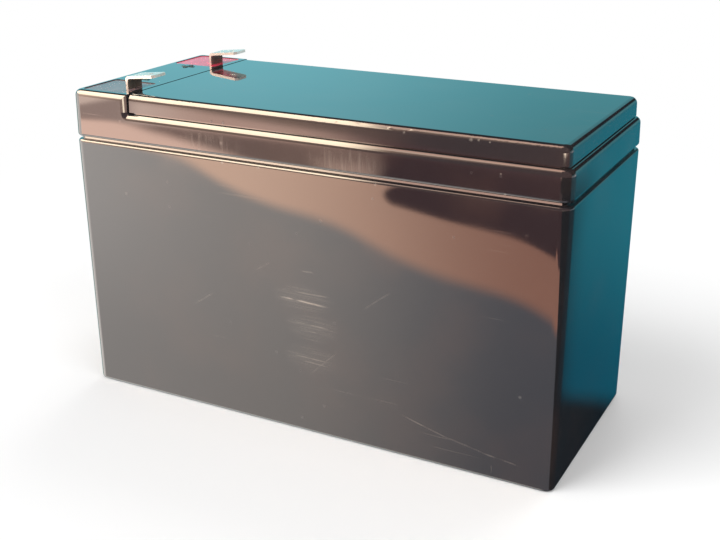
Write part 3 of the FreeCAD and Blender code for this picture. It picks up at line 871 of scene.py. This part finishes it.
@dataclass(frozen=True)
class RearWall:
    """Teal wall over a darker teal floor, dark far below, overhead and to the right.

    A span gives where a soft edge starts and where it ends, along the direction in its method.
    """

    teal_left: Colour = (0.245, 0.68, 0.77)
    teal_right: Colour = (0.105, 0.41, 0.47)
    teal_far: Colour = (0.02, 0.26, 0.345)
    teal_near: Colour = (0.0, 0.12, 0.19)
    floor_left: Colour = (0.42, 0.58, 0.55)
    shade: Colour = (0.006, 0.014, 0.020)
    side_light: Colour = (1.0, 1.0, 1.05)
    wall_left: Span = (-0.24, -0.56)
    wall_foot: Span = (-0.15, 0.10)
    ground_far: Span = (-0.50, -0.28)
    ground_left: Span = (-0.15, -0.45)
    shade_below: Span = (-0.500, -0.530)
    shade_below_left: Span = (-0.30, -0.10)
    shade_above: Span = (0.50, 0.75)
    shade_right: Span = (0.04, 0.12)
    shade_right_foot: Span = (0.10, 0.22)
    nook_left: Span = (0.276, 0.305)
    nook_top: Span = (-0.24, -0.30)
    nook_share: float = 0.7
    nook_least: float = 0.1
    light_foot: Span = (-0.20, -0.12)
    light_top: Span = (0.06, -0.04)
    light_left: Span = (0.42, 0.62)
    light_rear: Span = (0.95, 0.70)

    def tone(self, graph: Graph, x: Wire, y: Wire, slope: Wire) -> Wire:
        """Colour by direction.

        Args:
            graph: Graph of the dome's material.
            x: Share of the direction to the right.
            y: Share of the direction to the rear.
            slope: Rise of the direction for each share along the ground.

        Returns:
            Wire of the colour.
        """
        wall = graph.blend(x.rise(*self.wall_left), self.teal_right, self.teal_left)
        ground = graph.blend(slope.rise(*self.ground_far), self.teal_near, self.teal_far)
        ground = graph.blend(x.rise(*self.ground_left), ground, self.floor_left)
        teal = graph.blend(slope.rise(*self.wall_foot), ground, wall)
        below = slope.rise(*self.shade_below) * x.rise(*self.shade_below_left)
        teal = graph.blend(below, teal, self.shade)
        teal = graph.blend(slope.rise(*self.shade_above), teal, self.shade)
        right = x.rise(*self.shade_right) * slope.rise(*self.shade_right_foot)
        teal = graph.blend(right, teal, self.shade)
        nook = (x / y.larger(self.nook_least)).rise(*self.nook_left) * slope.rise(*self.nook_top)
        teal = graph.blend(nook * self.nook_share, teal, self.shade)
        lit = slope.rise(*self.light_foot) * slope.rise(*self.light_top) * x.rise(*self.light_left)
        return graph.blend(lit * y.rise(*self.light_rear), teal, self.side_light)


@dataclass(frozen=True)
class UpperBoards:
    """Two boards behind the tan one: a pink one that darkens to the right, and a paler one above it."""

    pink: Colour = (5.9, 3.85, 3.05)
    brown: Colour = (1.25, 0.76, 0.60)
    dark: Colour = (0.26, 0.09, 0.09)
    band: Colour = (1.9, 1.25, 1.05)
    board_left: Colour = (4.9, 3.6, 3.0)
    board_right: Colour = (3.9, 2.45, 1.95)
    dusk: Colour = (0.55, 0.25, 0.25)
    pink_edge: Slant = Slant(-0.80, -0.150, -0.256)
    pink_soft: Span = (0.007, -0.007)
    glow_place: float = -0.535
    glow_width: Span = (0.05, 0.01)
    glow_top: Span = (-0.258, -0.276)
    glow_share: float = 0.35
    dark_left: Span = (-0.505, -0.480)
    band_line: Slant = Slant(-0.92, 0.14, -0.2500)
    band_flare: float = 0.09
    band_least: float = 0.008
    band_soft: Span = (1.2, 0.6)
    band_right: Span = (-0.80, -0.84)
    band_share: float = 0.85
    board_fade: Span = (-0.70, -0.84)
    board_foot: Span = (-0.254, -0.248)
    dusk_left: Span = (-0.60, -0.47)

    def tone(self, graph: Graph, aside: Wire, height: Wire) -> Wire:
        """Colour by direction.

        Args:
            graph: Graph of the dome's material.
            aside: Share of the direction to the right for each share to the front.
            height: Share of the direction upwards for each share to the front.

        Returns:
            Wire of the colour.
        """
        glow = abs(aside - self.glow_place).rise(*self.glow_width) * height.rise(*self.glow_top)
        lit = (height - self.pink_edge.at(aside)).rise(*self.pink_soft).larger(glow * self.glow_share)
        low = graph.blend(lit, self.brown, self.pink)
        low = graph.blend(aside.rise(*self.dark_left), low, self.dark)
        reach = (aside - self.band_line.start).larger(0.0) * self.band_flare + self.band_least
        band = (abs(height - self.band_line.at(aside)) / reach).rise(*self.band_soft)
        high = graph.blend(aside.rise(*self.board_fade), self.board_right, self.board_left)
        high = graph.blend(aside.rise(*self.dusk_left), high, self.dusk)
        tone = graph.blend(height.rise(*self.board_foot), low, high)
        return graph.blend(band * aside.rise(*self.band_right) * self.band_share, tone, self.band)


@dataclass(frozen=True)
class FrontBoards:
    """Grey floor, a tan board that lies across it, darker boards above and a soft horizon."""

    grey_left: Colour = (2.75, 2.55, 2.40)
    grey_middle: Colour = (2.10, 1.90, 1.76)
    grey_right: Colour = (0.60, 0.59, 0.66)
    tan_left: Colour = (5.2, 3.4, 2.5)
    tan_right: Colour = (2.1, 0.95, 0.64)
    dark: Colour = (0.26, 0.09, 0.09)
    ledge_left: Colour = (9.5, 7.2, 5.4)
    ledge_right: Colour = (4.4, 2.8, 2.2)
    horizon_left: Colour = (4.6, 3.2, 2.4)
    horizon_middle: Colour = (1.5, 0.95, 0.70)
    horizon_right: Colour = (0.32, 0.19, 0.18)
    shelf: Colour = (1.9, 1.25, 1.0)
    strip: Colour = (9.5, 7.7, 5.9)
    upper: UpperBoards = UpperBoards()
    right_end: float = -0.28
    left_end: float = -1.30
    grey_fade: Span = (-0.30, -0.66)
    grey_far: Span = (-0.62, -1.00)
    dim_down: Span = (-0.30, -0.70)
    dim_share: float = 0.30
    dim_low: Span = (-0.36, -0.60)
    dim_left: Span = (-0.66, -1.00)
    dim_more: float = 0.12
    tan_fade: Span = (-0.30, -0.72)
    near_edge: Slant = Slant(-0.73, -0.243, -0.354)
    near_soft: Span = (-0.010, 0.010)
    wave_start: float = -0.667
    wave_length: float = 0.213
    wave_height: float = 0.0055
    far_edge: Slant = Slant(-0.482, -0.117, -0.3597)
    far_soft: Span = (-0.003, 0.003)
    far_turn: float = -0.36
    far_bend: float = 2.2
    tip_place: float = -0.4965
    tip_height: float = 0.009
    tip_bend: float = 90.0
    tip_soft: Span = (-0.005, 0.005)
    ledge_fade: Span = (-0.46, -0.60)
    ledge_foot: Span = (-0.333, -0.330)
    upper_foot: Span = (-0.300, -0.285)
    corner_level: float = -0.28
    corner_lean: float = 5.5
    corner_soft: Span = (-0.14, 0.02)
    horizon_fade: Span = (-0.42, -0.66)
    horizon_far: Span = (-0.78, -0.92)
    horizon_edge: Slant = Slant(-0.80, -0.035, -0.227)
    horizon_soft: Span = (-0.004, 0.006)
    far_left: Span = (-1.15, -1.45)
    shelf_foot: Span = (-0.215, -0.205)
    shelf_top: Span = (-0.150, -0.165)
    shelf_left: Span = (-0.72, -0.60)
    strip_left: Span = (0.20, 0.30)
    strip_right: Span = (1.10, 0.75)

    def tone(self, graph: Graph, bearing: Wire, slope: Wire) -> Wire:
        """Colour by direction.

        Args:
            graph: Graph of the dome's material.
            bearing: Share of the direction to the right for each share to the front.
            slope: Rise of the direction for each share along the ground.

        Returns:
            Wire of the colour; to the right of the boards' ends it mostly depends on the slope.
        """
        aside = bearing.smaller(self.right_end).larger(self.left_end)
        height = slope * (aside * aside + 1.0).maths("SQRT")
        tone = self._floor(graph, aside, height)
        ledge = graph.blend(aside.rise(*self.ledge_fade), self.ledge_right, self.ledge_left)
        tone = graph.blend(height.rise(*self.ledge_foot), tone, ledge)
        tone = graph.blend(height.rise(*self.upper_foot), tone, self.upper.tone(graph, aside, height))
        corner = (slope - self.corner_level).smaller(0.0) * self.corner_lean + bearing
        tone = graph.blend(corner.rise(*self.corner_soft), tone, BLACK)
        horizon = graph.blend(aside.rise(*self.horizon_fade), self.horizon_right, self.horizon_middle)
        horizon = graph.blend(aside.rise(*self.horizon_far), horizon, self.horizon_left)
        over = (height - self.horizon_edge.at(aside)).rise(*self.horizon_soft)
        tone = graph.blend(over, tone, horizon)
        tone = graph.blend(bearing.rise(*self.far_left), tone, self.grey_left)
        shelf = height.rise(*self.shelf_foot) * height.rise(*self.shelf_top)
        tone = graph.blend(shelf * bearing.rise(*self.shelf_left), tone, self.shelf)
        strip = shelf * bearing.rise(*self.strip_left) * bearing.rise(*self.strip_right)
        return graph.blend(strip, tone, self.strip)

    def _floor(self, graph: Graph, aside: Wire, height: Wire) -> Wire:
        """Grey floor, dimmer towards the battery, under the tan board with its dark wedge."""
        grey = graph.blend(aside.rise(*self.grey_fade), self.grey_right, self.grey_middle)
        grey = graph.blend(aside.rise(*self.grey_far), grey, self.grey_left)
        more = height.rise(*self.dim_low) * aside.rise(*self.dim_left) * self.dim_more
        grey = graph.blend(height.rise(*self.dim_down) * self.dim_share + more, grey, BLACK)
        tan = graph.blend(aside.rise(*self.tan_fade), self.tan_right, self.tan_left)
        tone = graph.blend(self._past_near_edge(aside, height).rise(*self.near_soft), grey, tan)
        inward = self._past_far_edge(aside, height)
        rounding = inward - self.tip_height
        tip = rounding * rounding * self.tip_bend + self.tip_place
        wedge = inward.rise(*self.far_soft) * (aside - tip).rise(*self.tip_soft)
        return graph.blend(wedge, tone, self.dark)

    def _past_near_edge(self, aside: Wire, height: Wire) -> Wire:
        """Height above the near edge of the tan board, which is gently curved."""
        wave = ((aside - self.wave_start) * (math.tau / self.wave_length)).maths("COSINE")
        return height - self.near_edge.at(aside) + wave * self.wave_height

    def _past_far_edge(self, aside: Wire, height: Wire) -> Wire:
        """Height above the far edge of the tan board, which turns down at its right end."""
        turn = (aside - self.far_turn).larger(0.0)
        return height - self.far_edge.at(aside) + turn * turn * self.far_bend


@dataclass(frozen=True)
class Walls:
    """All that the gloss mirrors, by direction from the battery: walls, boards, a window and a glint."""

    rear: RearWall = RearWall()
    front: FrontBoards = FrontBoards()
    window: Colour = (12.0, 9.6, 7.0)
    glint: Colour = (4.4, 2.7, 2.05)
    least: float = 0.02
    rear_from: Span = (-0.15, 0.10)
    window_right: Span = (-0.42, -0.47)
    window_foot: Span = (0.28, 0.44)
    window_rear: Span = (0.25, -0.05)
    glint_tilt: float = -0.10
    glint_least: float = 0.2
    glint_width: Span = (0.24, 0.12)
    glint_foot: Span = (0.40, 0.60)
    glint_right: Span = (0.10, -0.20)

    def tone(self, graph: Graph, x: Wire, y: Wire, z: Wire) -> Wire:
        """Colour by direction.

        Args:
            graph: Graph of the dome's material.
            x: Share of the direction to the right.
            y: Share of the direction to the rear.
            z: Share of the direction upwards.

        Returns:
            Wire of the colour.
        """
        depth = abs(y).larger(self.least)
        slope = z / (x * x + y * y).maths("SQRT").larger(self.least)
        rear = self.rear.tone(graph, x, y, slope)
        front = self.front.tone(graph, x / depth, slope)
        walls = graph.blend(y.rise(*self.rear_from), front, rear)
        above = abs(y / z.larger(self.glint_least) - self.glint_tilt).rise(*self.glint_width)
        above = above * z.rise(*self.glint_foot) * x.rise(*self.glint_right)
        walls = graph.blend(above, walls, self.glint)
        pane = x.rise(*self.window_right) * z.rise(*self.window_foot) * y.rise(*self.window_rear)
        return graph.blend(pane, walls, self.window)


@dataclass
class Studio:
    """Pale floor, soft lamps, white surroundings and the coloured dome that gloss surfaces mirror."""

    floor_size: float = 12.0
    floor_tone: Colour = (0.90, 0.90, 0.90)
    floor_shade: Colour = (0.87, 0.87, 0.87)
    floor_blobs: float = 3.0
    floor_fade: Span = (0.08, 0.34)
    dome_radius: float = 20.0
    sky: Colour = (0.36, 0.36, 0.36)
    lamps: tuple[Lamp, ...] = (
        Lamp("key_lamp", (-0.55, -0.75, 1.00), 0.9, 14.0),
        Lamp("fill_lamp", (0.90, -0.40, 0.70), 1.0, 6.0),
        Lamp("rear_lamp", (0.10, 0.90, 0.90), 1.0, 6.0),
    )
    walls: Walls = Walls()

    def build(self) -> None:
        """Builds the stage round the battery."""
        bpy.context.scene.view_settings.view_transform = "Standard"
        self._build_world()
        self._build_floor()
        self._build_dome()
        for lamp in self.lamps:
            lamp.build()

    def _build_world(self) -> None:
        """White for the camera, for gloss and through glass, and a soft sky for all other light."""
        world = bpy.data.worlds.new("surroundings")
        bpy.context.scene.world = world
        graph = Graph(world)
        path = graph.node("ShaderNodeLightPath")
        mirrored = path.out("Is Glossy Ray").larger(path.out("Is Transmission Ray"))
        seen = path.out("Is Camera Ray").larger(mirrored)
        tone = graph.blend(seen, self.sky, WHITE)
        light = graph.node("ShaderNodeBackground", inputs={"Color": tone, "Strength": 1.0})
        graph.node("ShaderNodeOutputWorld", inputs={"Surface": light})

    def _build_floor(self) -> None:
        """Wide pale floor, which keeps the shadow."""
        bpy.ops.object.select_all(action="DESELECT")
        bpy.ops.mesh.primitive_plane_add(size=self.floor_size)
        floor = bpy.context.active_object
        floor.name = "floor"
        material, graph = new_graph("floor_paper")
        place = graph.place()
        mottle = graph.noise(place, self.floor_blobs)
        paper = graph.node("ShaderNodeBsdfPrincipled", inputs={
            "Base Color": graph.blend(mottle, self.floor_shade, self.floor_tone),
            "Roughness": 1.0,
            "Specular IOR Level": 0.0,
        })
        white = graph.node("ShaderNodeEmission", inputs={"Color": WHITE, "Strength": 1.0})
        away = graph.node("ShaderNodeVectorMath", {"operation": "LENGTH"}, {0: place}).out("Value")
        seen = graph.node("ShaderNodeLightPath").out("Is Camera Ray")
        share = away.rise(*self.floor_fade) * seen
        mixed = graph.node("ShaderNodeMixShader", inputs={0: share, 1: paper, 2: white})
        graph.node("ShaderNodeOutputMaterial", inputs={"Surface": mixed})
        floor.data.materials.append(material)
        floor.visible_glossy = False

    def _build_dome(self) -> None:
        """Dome of coloured studio walls that only gloss surfaces see."""
        bpy.ops.object.select_all(action="DESELECT")
        bpy.ops.mesh.primitive_uv_sphere_add(segments=64, ring_count=32, radius=self.dome_radius)
        dome = bpy.context.active_object
        dome.name = "studio_dome"
        material, graph = new_graph("studio_walls")
        direction = graph.node("ShaderNodeVectorMath", {"operation": "NORMALIZE"}, {0: graph.place()})
        graph.surface({
            "Base Color": BLACK,
            "Roughness": 1.0,
            "Specular IOR Level": 0.0,
            "Emission Color": self.walls.tone(graph, *graph.split(direction)),
            "Emission Strength": 1.0,
        })
        material.cycles.emission_sampling = "NONE"
        dome.data.materials.append(material)
        for flag in ("camera", "diffuse", "shadow", "transmission", "volume_scatter"):
            setattr(dome, f"visible_{flag}", False)


def main() -> None:
    """Builds the battery's looks, then the stage."""
    logging.basicConfig(level=logging.INFO, format="%(name)s %(message)s")
    Shell().build()
    Terminal(Polarity.NEGATIVE, Resin((0.17, 0.10, 0.105), (0.24, 0.16, 0.165))).build()
    Terminal(Polarity.POSITIVE, Resin((0.80, 0.05, 0.11), (0.88, 0.13, 0.20))).build()
    Cells().build()
    Viewpoint().build()
    Studio().build()


if __name__ == "__main__":
    main()
